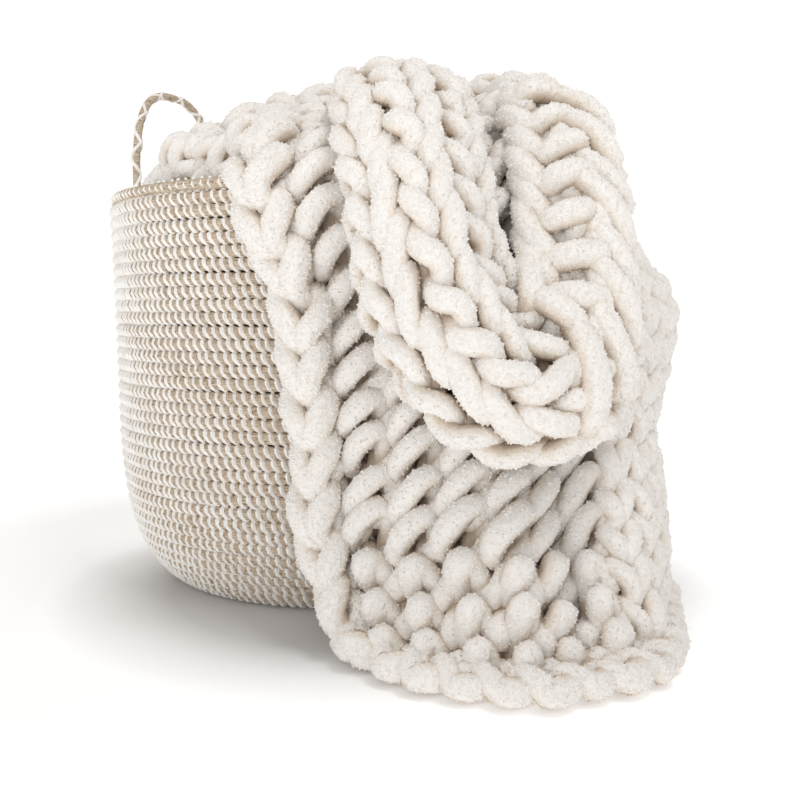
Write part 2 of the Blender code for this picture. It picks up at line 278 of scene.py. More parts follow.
def smooth_line(stations, count):
    """Count + 1 points on a smooth curve through the stations."""
    knots = np.asarray(stations, float)
    padded = np.vstack([2 * knots[0] - knots[1], knots, 2 * knots[-1] - knots[-2]])
    places = np.linspace(0, len(knots) - 1, count + 1)
    start = np.minimum(places.astype(int), len(knots) - 2)
    t = (places - start)[:, None]
    a, b, c, d = (padded[start + shift] for shift in range(4))
    bend = -a + 3 * b - 3 * c + d
    return b + 0.5 * t * (c - a + t * (2 * a - 5 * b + 4 * c - d + t * bend))


def even_line(stations, count):
    """Count + 1 points at even distances along the smooth curve through the stations."""
    fine = smooth_line(stations, FINE_STEPS)
    lengths = np.linalg.norm(np.diff(fine, axis=0), axis=1)
    reached = np.concatenate([[0], np.cumsum(lengths)])
    even = np.linspace(0, reached[-1], count + 1)
    return np.stack([np.interp(even, reached, fine[:, axis]) for axis in range(3)], axis=1)


class Surface:
    """A cloth of so many columns and rows, hung on a grid of places."""

    def __init__(self, grid, columns, rows):
        self.grid = grid
        self.columns = columns
        self.rows = rows
        normals = np.cross(np.gradient(grid, axis=1), np.gradient(grid, axis=0))
        self.normals = normals / np.linalg.norm(normals, axis=2, keepdims=True)

    def read(self, field, column, row):
        """A field of the grid between its points."""
        across = np.asarray(column) / self.columns * (self.grid.shape[0] - 1)
        along = np.asarray(row) / self.rows * (self.grid.shape[1] - 1)
        i = np.clip(across.astype(int), 0, self.grid.shape[0] - 2)
        j = np.clip(along.astype(int), 0, self.grid.shape[1] - 2)
        s = (across - i)[:, None]
        t = (along - j)[:, None]
        near = field[i, j] * (1 - s) + field[i + 1, j] * s
        far = field[i, j + 1] * (1 - s) + field[i + 1, j + 1] * s
        return near * (1 - t) + far * t

    def at(self, column, row, lift):
        """Points at column and row places, raised off the cloth by lift."""
        normal = self.read(self.normals, column, row)
        normal /= np.linalg.norm(normal, axis=1, keepdims=True)
        return self.read(self.grid, column, row) + normal * np.asarray(lift)[:, None]

    def crowding(self, column, row):
        """How much the yarn shrinks where the cloth is drawn together, and swells where it is wide."""
        widths = np.linalg.norm(np.gradient(self.grid, axis=0), axis=2, keepdims=True)
        widths *= (self.grid.shape[0] - 1) / self.columns / COLUMN
        share = self.read(widths, column, row)[:, 0]
        return np.clip(share, CROWDED, ROOMY) ** 0.5


def hang(lines, columns, rows, steps=5):
    """The surface through lines that run along the columns of stitches."""
    down = np.array([even_line(line, rows * steps) for line in lines])
    across = [even_line(down[:, j], columns * steps) for j in range(rows * steps + 1)]
    return Surface(np.stack(across, axis=1), columns, rows)


# %% [markdown]
# The panel falls over the rim and down to the floor. Each of its lines crosses the rim at its own
# angle. The swag is the fold that hangs in front of it in nested curves; its first line runs on the
# turned-under side, so the cloth rolls round the lip as it does on the real one.

# %% Lines of the panel and the swag
PANEL_LINES = (
    ("edge", -110, ((-62, -256, 280), (-52, -262, 215), (-44, -262, 155), (-42, -264, 100),
                    (-24, -272, 52), (-6, -288, 16), (6, -312, 9))),
    ("second", -101, ((-26, -262, 280), (-12, -268, 215), (-4, -272, 155), (0, -280, 100),
                      (12, -300, 52), (24, -332, 16), (36, -356, 9))),
    ("third", -91, ((12, -258, 280), (26, -266, 215), (34, -282, 160), (38, -300, 105),
                    (50, -326, 54), (60, -360, 16), (68, -384, 9))),
    ("fourth", -79, ((58, -248, 280), (64, -264, 218), (70, -290, 160), (76, -318, 108),
                     (86, -346, 56), (95, -376, 16), (102, -400, 9))),
    ("crest", -65, ((102, -236, 280), (110, -256, 218), (115, -286, 160), (119, -320, 112),
                    (126, -350, 58), (131, -382, 16), (134, -406, 9))),
    ("valley", -45, ((164, -214, 280), (166, -228, 215), (168, -246, 155), (166, -274, 100),
                     (163, -320, 50), (160, -364, 16), (159, -394, 9))),
    ("after valley", -28, ((224, -196, 285), (216, -224, 215), (210, -250, 155), (202, -284, 105),
                           (194, -326, 54), (190, -360, 16), (186, -384, 9))),
    ("right", -16, ((276, -132, 276), (268, -170, 215), (248, -208, 158), (238, -252, 105),
                    (227, -302, 54), (221, -338, 16), (216, -358, 9))),
    ("far right", -6, ((308, -78, 276), (292, -122, 215), (268, -160, 160), (264, -198, 108),
                       (256, -238, 56), (250, -266, 16), (246, -284, 9))),
    ("back", 6, ((316, -24, 276), (304, -68, 220), (282, -108, 165), (280, -138, 110),
                 (276, -168, 56), (272, -186, 16), (268, -198, 9))),
)
RIM_PLACES = ((0.180, 0.402), (0.232, 0.393), (0.264, 0.350))
SWAG_LINES = (
    ("under", ((10, -60, 404), (12, -160, 400), (16, -216, 376), (20, -240, 342), (26, -254, 300),
               (36, -262, 262), (52, -270, 232), (76, -276, 208), (106, -276, 194),
               (138, -268, 192), (166, -252, 200), (184, -232, 222), (192, -212, 256),
               (190, -196, 304), (184, -170, 352), (180, -124, 384), (176, -64, 396))),
    ("lip", ((-14, -140, 440), (-12, -226, 432), (-6, -280, 392), (-3, -298, 345), (2, -308, 296),
             (12, -318, 250), (32, -328, 206), (62, -338, 174), (102, -344, 156),
             (142, -338, 156), (178, -322, 166), (204, -298, 198), (214, -274, 244),
             (214, -256, 300), (208, -230, 356), (202, -182, 408), (196, -112, 424))),
    ("first", ((22, -110, 466), (24, -234, 452), (28, -300, 402), (34, -330, 346),
               (44, -346, 298), (60, -358, 258), (82, -366, 224), (106, -370, 200),
               (132, -368, 190), (158, -356, 196), (180, -338, 214), (194, -316, 246),
               (199, -296, 286), (198, -274, 332), (192, -240, 382), (188, -186, 430),
               (182, -110, 452))),
    ("second", ((62, -84, 470), (62, -216, 453), (64, -286, 405), (70, -316, 354),
                (80, -332, 310), (92, -342, 276), (107, -348, 250), (122, -350, 234),
                (138, -346, 230), (152, -334, 238), (162, -318, 256), (168, -300, 286),
                (170, -284, 318), (169, -262, 356), (166, -226, 400), (164, -168, 440),
                (160, -90, 458))),
    ("hollow", ((104, -60, 460), (104, -176, 446), (106, -230, 400), (110, -252, 358),
                (114, -264, 330), (118, -271, 308), (122, -275, 294), (127, -276, 288),
                (132, -274, 290), (136, -268, 298), (138, -258, 314), (139, -246, 336),
                (138, -230, 362), (136, -208, 388), (134, -172, 414), (132, -124, 436),
                (130, -66, 448))),
)


def panel_lines():
    """The panel's lines in metres, each led from the heap over the rim and then down."""
    lines = []
    for _, angle, falls in PANEL_LINES:
        turn = math.radians(angle)
        line = [(radius * math.cos(turn), radius * math.sin(turn), height)
                for radius, height in RIM_PLACES]
        line.extend(tuple(MM * size for size in place) for place in falls)
        lines.append(line)
    return lines


panel = hang(panel_lines(), 12, 16)
swag = hang([MM * np.array(places) for _, places in SWAG_LINES], 4, 25)
print("panel width and length:", np.linalg.norm(np.diff(panel.grid[:, 60], axis=0), axis=1).sum(),
      np.linalg.norm(np.diff(panel.grid[30], axis=0), axis=1).sum())
print("swag width and length:", np.linalg.norm(np.diff(swag.grid[:, 75], axis=0), axis=1).sum(),
      np.linalg.norm(np.diff(swag.grid[15], axis=0), axis=1).sum())

# %% [markdown]
# A knitted stitch is one loop of yarn. Seen from the front its two legs make a V, and its head
# passes behind the legs of the next loop. One row of loops is a single curve: it sways sideways
# twice in each stitch, rises and falls once, and dips behind the cloth at head and foot. Rows join
# at the sides, because the whole cloth is knitted from one yarn. On the reverse the heads and feet
# lie in front and show as slanting bumps, so `reverse_columns` turns the depth of some columns over.

# %% Loops of yarn
LOOP_STEPS = 26
LEAN = 0.27
LOOP_HEIGHT = 0.74
DEPTH = 0.0080
HEAD_DEPTH = 0.0020
YARN = 0.0080
SWAY = 0.05
SLANT = 0.44
SUNK = 0.0105
BUMP_RISE = 0.0035
LEAST_FRONT = 0.25
END_GAP = 0.4
EDGE = 0.5
REVERSE_SWELL = 0.08
ROUND_LEAN = 0.0
ROUND_SWELL = 0.15
FLOOR_GAP = 0.0028
TURN_OVER = 0.5
ROUND_END = np.array((0.35, 0.7, 0.88, 0.97))


def wander(count, size, step):
    """A slow random sway along a yarn, from random values a step apart."""
    knots = random.normal(0.0, size, count // step + 3)
    return np.interp(np.arange(count) / step, np.arange(len(knots)), knots)


def round_off(thick):
    """Lets a yarn end round instead of cut off."""
    thick[:len(ROUND_END)] *= ROUND_END
    thick[-len(ROUND_END):] *= ROUND_END[::-1]


def knit(surface, rows, yarn=YARN, height=LOOP_HEIGHT, lean=LEAN, reverse_columns=(0, 0), round_rows=0,
         least_front=LEAST_FRONT):
    """The yarn's path, its thickness, the way out of the cloth, and how far in front it lies."""
    places = []
    turns = np.arange(surface.columns * LOOP_STEPS + 1) / LOOP_STEPS
    t = 2 * math.pi * (turns - 0.5)
    first, last = reverse_columns
    inside = np.minimum(turns - first, last - turns)
    face = 1 - 2 * np.clip(inside / TURN_OVER + 0.5, 0, 1) if last > first else np.ones(len(t))
    back = 0.5 * (1 - face)
    sink = HEAD_DEPTH + back * BUMP_RISE
    lift = face * (-DEPTH * np.cos(2 * t) - sink * np.cos(t))
    for row in range(rows):
        rounded = back * (row >= rows - round_rows)
        column = turns + (lean + (ROUND_LEAN - lean) * rounded) * np.sin(2 * t)
        slant = SLANT * np.sin(2 * t) * (back - 0.65 * rounded)
        rise = -height * np.cos(t) - slant
        thick = yarn * (1 - 0.10 * face * np.cos(2 * t) + REVERSE_SWELL * back + ROUND_SWELL * rounded)
        path = np.stack([column, row + 0.5 + rise, lift, thick], axis=1)
        places.append(path[::-1] if row % 2 else path)
    joined = np.vstack(places)
    count = len(joined)
    column = joined[:, 0] + wander(count, SWAY, 9)
    along = joined[:, 1] + wander(count, 1.5 * SWAY, 9)
    if round_rows:
        along = np.minimum(along, rows - END_GAP)
    lift = joined[:, 2] - SUNK + wander(count, 0.0014, 7)
    thick = joined[:, 3] * (1 + wander(count, 0.05, 6))
    crowding = surface.crowding(column, along)
    thick *= crowding
    round_off(thick)
    points = surface.at(column, along, lift * crowding)
    points[:, 2] = np.maximum(points[:, 2], thick + FLOOR_GAP)
    edge = 1 - np.minimum(column, surface.columns - column) / EDGE
    # front is how far in front the yarn lies, at least least_front and full at the cloth's edges; it
    # sets the pile's density and, through "exposed", how much painted shade the yarn gets.
    front = np.maximum(np.clip((joined[:, 2] + DEPTH) / DEPTH, least_front, 1), np.clip(edge, 0, 1))
    return points, thick, surface.read(surface.normals, column, along), front


def plain_path(points, thick):
    """A path that is seen from all sides."""
    return points, thick, np.zeros((len(points), 3)), np.ones(len(points))


def twist(line, strands, radius, turns, yarn, open_side=0.0):
    """Paths of strands laid round a line, whose open side is the direction that shows."""
    forward = np.gradient(line, axis=0)
    forward /= np.linalg.norm(forward, axis=1, keepdims=True)
    side = np.cross(forward, (0.0, 0.0, 1.0))
    side /= np.linalg.norm(side, axis=1, keepdims=True)
    over = np.cross(side, forward)
    paths = []
    for strand in range(strands):
        angle = 2 * math.pi * (turns * np.linspace(0, 1, len(line)) + strand / strands)
        reach = radius * (1 + wander(len(line), 0.15, 9))
        outward = np.cos(angle)[:, None] * side + np.sin(angle)[:, None] * over
        points = line + reach[:, None] * outward
        thick = yarn * (1 + wander(len(line), 0.09, 8))
        round_off(thick)
        points[:, 2] = np.maximum(points[:, 2], thick + FLOOR_GAP)
        # The way out leans toward the open side; on plush it sets where the painted shade falls and
        # where pile grows.
        outward = outward + open_side
        outward /= np.linalg.norm(outward, axis=1, keepdims=True)
        paths.append((points, thick, outward, np.ones(len(points))))
    return paths


# %% [markdown]
# What repeats is made with Geometry Nodes. Three small helpers start a tree, name its inputs and
# link nodes in a row. A fourth compares the way a face looks with the way out of the cloth, which is
# stored on the yarn's path. The yarn needs that for its painted shade, and the pile to find its places.


# %% Helpers for trees
def add_input(tree, name, kind, value):
    """A named input of a Geometry Nodes tree with its default value."""
    socket = tree.interface.new_socket(name=name, in_out="INPUT", socket_type=kind)
    if value is not None:
        socket.default_value = value
    return socket


def new_tree(name):
    """A Geometry Nodes tree with its ends."""
    tree = bpy.data.node_groups.new(name, "GeometryNodeTree")
    add_input(tree, "Geometry", "NodeSocketGeometry", None)
    tree.interface.new_socket(name="Geometry", in_out="OUTPUT", socket_type="NodeSocketGeometry")
    return tree, tree.nodes.new("NodeGroupInput"), tree.nodes.new("NodeGroupOutput")


def chain(tree, *nodes):
    """Links each node's first geometry output to the next one's first input."""
    for before, after in zip(nodes, nodes[1:]):
        tree.links.new(before.outputs[0], after.inputs[0])


def add_facing(tree):
    """How far a face looks out of the cloth, and how far in front its yarn lies."""
    outward = tree.nodes.new("GeometryNodeInputNamedAttribute")
    outward.data_type = "FLOAT_VECTOR"
    outward.inputs["Name"].default_value = "outward"
    front = tree.nodes.new("GeometryNodeInputNamedAttribute")
    front.data_type = "FLOAT"
    front.inputs["Name"].default_value = "front"
    normal = tree.nodes.new("GeometryNodeInputNormal")
    facing = tree.nodes.new("ShaderNodeVectorMath")
    facing.operation = "DOT_PRODUCT"
    tree.links.new(normal.outputs["Normal"], facing.inputs[0])
    tree.links.new(outward.outputs["Attribute"], facing.inputs[1])
    return facing.outputs["Value"], front.outputs["Attribute"]


# %% [markdown]
# Geometry Nodes turn a path into yarn. The tree reads the thickness stored on the path, sweeps a
# circle along it, and then lets noise push the surface in and out, so that the yarn is plump and
# uneven like real plush. Cylinders would look like pipes, and noise in the material alone would
# leave their outline straight.

# %% A tree that makes yarn
# Faces that look this far into or out of the cloth get full painted shade or none.
HIDDEN_FACE = -0.5
OPEN_FACE = 0.65


def make_yarn_tree():
    """Path in, plump yarn out."""
    tree, start, end = new_tree("yarn along a path")
    add_input(tree, "Sides", "NodeSocketInt", 10)
    add_input(tree, "Lump size", "NodeSocketFloat", 0.0012)
    add_input(tree, "Lump scale", "NodeSocketFloat", 110.0)
    add_input(tree, "Material", "NodeSocketMaterial", None)
    curve = tree.nodes.new("GeometryNodeMeshToCurve")
    thick = tree.nodes.new("GeometryNodeInputNamedAttribute")
    thick.data_type = "FLOAT"
    thick.inputs["Name"].default_value = "thick"
    circle = tree.nodes.new("GeometryNodeCurvePrimitiveCircle")
    circle.inputs["Radius"].default_value = 1.0
    tree.links.new(start.outputs["Sides"], circle.inputs["Resolution"])
    sweep = tree.nodes.new("GeometryNodeCurveToMesh")
    sweep.inputs["Fill Caps"].default_value = True
    tree.links.new(circle.outputs["Curve"], sweep.inputs["Profile Curve"])
    tree.links.new(thick.outputs["Attribute"], sweep.inputs["Scale"])
    noise = tree.nodes.new("ShaderNodeTexNoise")
    noise.inputs["Detail"].default_value = 2.5
    noise.inputs["Roughness"].default_value = 0.65
    tree.links.new(start.outputs["Lump scale"], noise.inputs["Scale"])
    centre = tree.nodes.new("ShaderNodeMath")
    centre.operation = "SUBTRACT"
    centre.inputs[1].default_value = 0.5
    tree.links.new(noise.outputs["Fac"], centre.inputs[0])
    reach = tree.nodes.new("ShaderNodeMath")
    reach.operation = "MULTIPLY"
    tree.links.new(centre.outputs[0], reach.inputs[0])
    tree.links.new(start.outputs["Lump size"], reach.inputs[1])
    normal = tree.nodes.new("GeometryNodeInputNormal")
    push = tree.nodes.new("ShaderNodeVectorMath")
    push.operation = "SCALE"
    tree.links.new(normal.outputs["Normal"], push.inputs[0])
    tree.links.new(reach.outputs[0], push.inputs["Scale"])
    place = tree.nodes.new("GeometryNodeSetPosition")
    tree.links.new(push.outputs["Vector"], place.inputs["Offset"])
    facing, front = add_facing(tree)
    # Painted shade: faces that turn into the cloth, and yarn deep in it, get a low "exposed" value,
    # which the plush material turns into a darker, browner colour.
    open_share = tree.nodes.new("ShaderNodeMapRange")
    open_share.inputs["From Min"].default_value = HIDDEN_FACE
    open_share.inputs["From Max"].default_value = OPEN_FACE
    tree.links.new(facing, open_share.inputs["Value"])
    exposed = tree.nodes.new("ShaderNodeMath")
    exposed.operation = "MULTIPLY"
    tree.links.new(open_share.outputs["Result"], exposed.inputs[0])
    tree.links.new(front, exposed.inputs[1])
    keep = tree.nodes.new("GeometryNodeStoreNamedAttribute")
    keep.data_type = "FLOAT"
    keep.inputs["Name"].default_value = "exposed"
    tree.links.new(exposed.outputs["Value"], keep.inputs["Value"])
    smooth = tree.nodes.new("GeometryNodeSetShadeSmooth")
    realize = tree.nodes.new("GeometryNodeRealizeInstances")
    paint = tree.nodes.new("GeometryNodeSetMaterial")
    tree.links.new(start.outputs["Material"], paint.inputs["Material"])
    tree.links.new(start.outputs["Geometry"], curve.inputs["Mesh"])
    tree.links.new(curve.outputs["Curve"], sweep.inputs["Curve"])
    chain(tree, sweep, place, keep, smooth, realize, paint, end)
    return tree


yarn_tree = make_yarn_tree()
print(yarn_tree.name, "has", len(yarn_tree.nodes), "nodes")

# %% [markdown]
# A tree runs as a modifier on a guide, here a row of edges for each path, and the result is taken as
# a plain mesh at the origin. Each finished piece is then hung on the body root, and the solids that
# it stands for, where given, are hidden.


# %% Run a tree on paths
def run_tree(name, guide, tree, values):
    """Runs a tree on a guide object and keeps the result as a plain mesh at the origin."""
    modifier = guide.modifiers.new("shape", "NODES")
    modifier.node_group = tree
    sockets = {item.name: item.identifier for item in tree.interface.items_tree
               if item.item_type == "SOCKET" and item.in_out == "INPUT"}
    for label, value in values.items():
        modifier[sockets[label]] = value
    evaluated = guide.evaluated_get(bpy.context.evaluated_depsgraph_get())
    mesh = bpy.data.meshes.new_from_object(evaluated)
    mesh.name = name
    bpy.data.objects.remove(guide, do_unlink=True)
    piece = bpy.data.objects.new(name, mesh)
    scene.collection.objects.link(piece)
    mesh.calc_loop_triangles()
    print(name, "has", len(mesh.loop_triangles), "triangles")
    return piece


def guide_from_paths(name, paths):
    """A mesh of edges along several paths, with what the trees read stored on its points."""
    edges, offset = [], 0
    for line, _, _, _ in paths:
        edges.extend((offset + k, offset + k + 1) for k in range(len(line) - 1))
        offset += len(line)
    points, thick, outward, front = (np.concatenate(parts) for parts in zip(*paths))
    mesh = bpy.data.meshes.new(name)
    mesh.from_pydata(points.tolist(), edges, [])
    for label, values in (("thick", thick), ("front", front)):
        attribute = mesh.attributes.new(label, "FLOAT", "POINT")
        attribute.data.foreach_set("value", np.array(values, dtype=np.float32))
    attribute = mesh.attributes.new("outward", "FLOAT_VECTOR", "POINT")
    attribute.data.foreach_set("vector", np.array(outward, dtype=np.float32).ravel())
    guide = bpy.data.objects.new(name, mesh)
    scene.collection.objects.link(guide)
    return guide


def make_yarn(name, paths, material, sides=9, lump=0.0038, scale=130.0):
    """One piece of yarn, or several side by side, along their paths."""
    values = {"Sides": sides, "Lump size": lump, "Lump scale": scale, "Material": material}
    return run_tree(name, guide_from_paths(name + "_path", paths), yarn_tree, values)


def belongs(piece, slot, *nodes):
    """Hangs a finished piece on the body root and hides the solids that it stands for; slot is not used.
    """
    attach(piece, "root")
    if nodes:
        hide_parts(*nodes)


# %% [markdown]
# The pile is what makes plush look soft. One tuft is a low pyramid no wider than a few fibres. A
# second tree scatters it over the side of the yarn that shows, turned at random and each of its own
# height. The hidden side stays bare, because nobody sees it there.

# %% A tree that makes pile
TUFT_WIDTH = 0.0019
TUFT_HEIGHT = 0.0013
TUFT_ROOT = 0.0004
TUFT_FACE = -0.15
TUFT_LEAST = (0.7, 0.7, 0.5)
TUFT_MOST = (1.2, 1.2, 1.4)


def tuft_shape():
    """A low closed pyramid that points up."""
    corners = [(TUFT_WIDTH * math.cos(turn), TUFT_WIDTH * math.sin(turn), -TUFT_ROOT)
               for turn in (0, 2 * math.pi / 3, 4 * math.pi / 3)]
    mesh = bpy.data.meshes.new("tuft")
    mesh.from_pydata(corners + [(0, 0, TUFT_HEIGHT)], [], [(2, 1, 0), (0, 1, 3), (1, 2, 3), (2, 0, 3)])
    return bpy.data.objects.new("tuft", mesh)


def make_pile_tree():
    """Yarn in, tufts on the side that shows out."""
    tree, start, end = new_tree("pile on yarn")
    add_input(tree, "Tuft", "NodeSocketObject", None)
    add_input(tree, "Density", "NodeSocketFloat", 100000.0)
    add_input(tree, "Seed", "NodeSocketInt", 0)
    add_input(tree, "Material", "NodeSocketMaterial", None)
    facing, front = add_facing(tree)
    shows = tree.nodes.new("FunctionNodeCompare")
    shows.data_type = "FLOAT"
    shows.operation = "GREATER_THAN"
    shows.inputs["B"].default_value = TUFT_FACE
    tree.links.new(facing, shows.inputs["A"])
    amount = tree.nodes.new("ShaderNodeMath")
    amount.operation = "MULTIPLY"
    tree.links.new(start.outputs["Density"], amount.inputs[0])
    tree.links.new(front, amount.inputs[1])
    scatter = tree.nodes.new("GeometryNodeDistributePointsOnFaces")
    tree.links.new(start.outputs["Geometry"], scatter.inputs["Mesh"])
    tree.links.new(shows.outputs["Result"], scatter.inputs["Selection"])
    tree.links.new(amount.outputs["Value"], scatter.inputs["Density"])
    tree.links.new(start.outputs["Seed"], scatter.inputs["Seed"])
    source = tree.nodes.new("GeometryNodeObjectInfo")
    tree.links.new(start.outputs["Tuft"], source.inputs["Object"])
    size = tree.nodes.new("FunctionNodeRandomValue")
    size.data_type = "FLOAT_VECTOR"
    size.inputs["Min"].default_value = TUFT_LEAST
    size.inputs["Max"].default_value = TUFT_MOST
    tree.links.new(start.outputs["Seed"], size.inputs["Seed"])
    place = tree.nodes.new("GeometryNodeInstanceOnPoints")
    tree.links.new(scatter.outputs["Rotation"], place.inputs["Rotation"])
    tree.links.new(source.outputs["Geometry"], place.inputs["Instance"])
    tree.links.new(size.outputs["Value"], place.inputs["Scale"])
    realize = tree.nodes.new("GeometryNodeRealizeInstances")
    paint = tree.nodes.new("GeometryNodeSetMaterial")
    tree.links.new(start.outputs["Material"], paint.inputs["Material"])
    # The tufts keep the "exposed" value of the yarn they stand on, so the plush material gives them the
    # same painted shade.
    chain(tree, scatter, place, realize, paint, end)
    return tree


tuft = tuft_shape()
pile_tree = make_pile_tree()
print(pile_tree.name, "has", len(pile_tree.nodes), "nodes")


def make_pile(yarn_piece, density, material):
    """The tufts of one piece of yarn, as a piece of their own."""
    guide = bpy.data.objects.new("pile_guide", yarn_piece.data.copy())
    scene.collection.objects.link(guide)
    values = {"Tuft": tuft, "Density": density, "Seed": SEED, "Material": material}
    piece = run_tree(yarn_piece.name + "_pile", guide, pile_tree, values)
    belongs(piece, "plush_yarn")
    return piece


# %% [markdown]
# The panel and the swag are knitted on their surfaces. The heap is a third cloth: its columns run
# from left to right over a hill whose skyline was measured, and at the basket's wall it
# turns down and disappears inside.

# %% Heap surface
SKYLINE = (
    (-240, 352),
    (-192, 366),
    (-165, 396),
    (-130, 422),
    (-75, 450),
    (-20, 462),
    (30, 492),
    (65, 482),
    (95, 460),
    (140, 478),
    (185, 478),
    (215, 455),
    (240, 410),
)
RIM_HEIGHT = 0.370
HEAP_CREST = -0.02
HEAP_DEPTH = 0.245
HEAP_FOLD = 0.011
HEAP_FOLD_PITCH = 0.085
HEAP_RADIUS = 0.209


def heap_height(across, back):
    """Height of the heaped cloth above a place inside the rim."""
    places, heights = zip(*SKYLINE)
    skyline = MM * np.interp(across / MM, places, heights)
    share = np.minimum(1.0, np.abs(back - HEAP_CREST) / HEAP_DEPTH)
    fall = np.cos(0.5 * math.pi * share)
    low = np.minimum(RIM_HEIGHT + 0.012, skyline)
    fold = HEAP_FOLD * np.sin(2 * math.pi * (back - 0.5 * across) / HEAP_FOLD_PITCH)
    return low + (skyline - low) * fall + fold * fall


def heap_surface(columns, rows, steps=5):
    """The heap's cloth: its columns run along X, from the left of the basket to the right."""
    back, across = np.meshgrid(np.linspace(0.5, -0.5, columns * steps + 1) * columns * COLUMN,
                               np.linspace(-0.5, 0.5, rows * steps + 1) * rows * 0.031,
                               indexing="ij")
    radius = np.hypot(across, back)
    shrink = np.minimum(1.0, HEAP_RADIUS / np.maximum(radius, 1e-6))
    inside_across, inside_back = across * shrink, back * shrink
    height = heap_height(inside_across, inside_back) - np.maximum(0.0, radius - HEAP_RADIUS)
    grid = np.stack([inside_across, inside_back, height], axis=2)
    surface = Surface(grid, columns, rows)
    if surface.normals[grid.shape[0] // 2, grid.shape[1] // 2, 2] < 0:
        surface.normals = -surface.normals
    return surface


HEAP_COLUMNS = 13
HEAP_ROWS = 17
heap = heap_surface(HEAP_COLUMNS, HEAP_ROWS)
print("heap from", heap.grid.min(axis=(0, 1)), "to", heap.grid.max(axis=(0, 1)))

# %% [markdown]
# Now the three cloths are knitted, each from one yarn. On the panel some columns show the reverse,
# and its last rows are rounder. The swag's yarn is a little thicker and its loops are taller, since
# its own weight pulls it long.

# %% Knit the blanket
PANEL_HEIGHT = 0.78
PANEL_REVERSE = (1, 7)
PANEL_ROUND_ROWS = 3
SWAG_YARN = 0.0083
SWAG_HEIGHT = 0.92
SWAG_LEAN = 0.22
panel_path = knit(panel, panel.rows, YARN, PANEL_HEIGHT, LEAN, PANEL_REVERSE, PANEL_ROUND_ROWS)
panel_piece = make_yarn("blanket_panel", [panel_path], plush)
belongs(panel_piece, "plush_yarn", "blanket")
swag_path = knit(swag, swag.rows, SWAG_YARN, SWAG_HEIGHT, SWAG_LEAN)
swag_piece = make_yarn("blanket_swag", [swag_path], plush)
belongs(swag_piece, "plush_yarn")
heap_piece = make_yarn("blanket_heap", [knit(heap, heap.rows)], plush)
belongs(heap_piece, "plush_yarn")

# %% [markdown]
# A knitted cloth rolls at its sides, and its ends are bound off with a thick plait. The left side of
# the panel is a chain of large loops that lies on the first column, and the hem is two strands that
# twist round each other along the floor. The swag's right arm carries two strips of wide stitches,
# where the cloth is folded and its columns lie open. All three lie on the surfaces made before, so
# they follow every bend. Where the chain meets the floor its lines crowd together, and the last part
# of it takes its way out from the part before.

# %% Rolled side, arm and hem
SIDE_YARN = 0.0094
SIDE_ROWS = 13
SIDE_STEADY = 9
SIDE_LINES = ((-0.05, 0.002, 0, 16), (0.45, 0.016, 0, 16), (1.0, 0.012, 0, 16))
# LIFTED is the least front of the side and the arm, so they get more pile and less painted shade.
LIFTED = 0.75
ARM_YARN = 0.0090
ARM_ROWS = 10
ARM_LINES = (
    ((2.45, 0.011, 14.0, 25.0), (3.25, 0.019, 13.0, 24.5), (4.2, 0.010, 12.6, 24.0)),
    ((0.6, 0.008, 14.4, 25.0), (1.5, 0.013, 14.2, 25.0), (2.4, 0.010, 14.0, 25.0)),
)
ARM_HEIGHT = 0.46
ARM_LEAN = -0.10
HEM_YARN = 0.0098
HEM_RADIUS = 0.0095
HEM_TURNS = -7.5
HEM_POINTS = 260
HEM_OUT = 0.2
HEM_RISE = 0.3
HEM_SINK = 0.002
HEM_OPEN = 2.2
HEM_MIDDLE = (0.08, -0.10, -0.12)


def strip_surface(cloth, lines, rows, steps=5):
    """A narrow cloth on a wider one; each line is (column, lift, first row, last row) of that one."""
    count = rows * steps + 1
    down = [cloth.at(np.full(count, column), np.linspace(first, last, count), np.full(count, lift))
            for column, lift, first, last in lines]
    across = [smooth_line([line[k] for line in down], steps) for k in range(count)]
    return Surface(np.stack(across, axis=1), 1, rows)


side = strip_surface(panel, SIDE_LINES, SIDE_ROWS)
side.normals[:, -SIDE_STEADY:] = side.normals[:, -SIDE_STEADY - 1:-SIDE_STEADY]
side_piece = make_yarn("blanket_side", [knit(side, SIDE_ROWS, SIDE_YARN, least_front=LIFTED)], plush)
belongs(side_piece, "plush_yarn")
arms = [strip_surface(swag, lines, ARM_ROWS) for lines in ARM_LINES]
arm_paths = [knit(arm, ARM_ROWS, ARM_YARN, ARM_HEIGHT, ARM_LEAN, least_front=LIFTED) for arm in arms]
arm_piece = make_yarn("blanket_arm", arm_paths, plush)
belongs(arm_piece, "plush_yarn")
hem_columns = np.linspace(-HEM_OUT, panel.columns - HEM_OUT, HEM_POINTS)
hem_rows = np.full(HEM_POINTS, panel.rows - HEM_RISE)
hem_line = panel.at(hem_columns, hem_rows, np.full(HEM_POINTS, -HEM_SINK))
# hem_side leans the hem's way out away from HEM_MIDDLE, HEM_OPEN strong, so that little painted shade
# falls on the side of the hem that shows.
hem_side = hem_line - HEM_MIDDLE
hem_side *= HEM_OPEN / np.linalg.norm(hem_side, axis=1, keepdims=True)
hem_paths = twist(hem_line, 2, HEM_RADIUS, HEM_TURNS, HEM_YARN, hem_side)
hem_piece = make_yarn("blanket_hem", hem_paths, plush)
belongs(hem_piece, "plush_yarn")

# %% [markdown]
# The basket is one long bundle of grass, coiled from the middle of the base to the rim. Flat strips
# are sewn over each round into the round below, and what shows between two strips is the grass.
# We lay one ring for each round along the wall's profile, a turned section with the same stations
# as the part's source.

# %% Rounds of grass
BASKET_PROFILE = (
    (0, 172),
    (4, 183),
    (16, 196),
    (35, 209),
    (62, 219),
    (98, 226),
    (150, 230),
    (240, 231.5),
    (310, 233),
    (362, 235),
    (370, 235),
)
COIL = 0.0056
WALL_ROUNDS = 36
RING_STEPS = 72
STRIP_PITCH = 0.0087


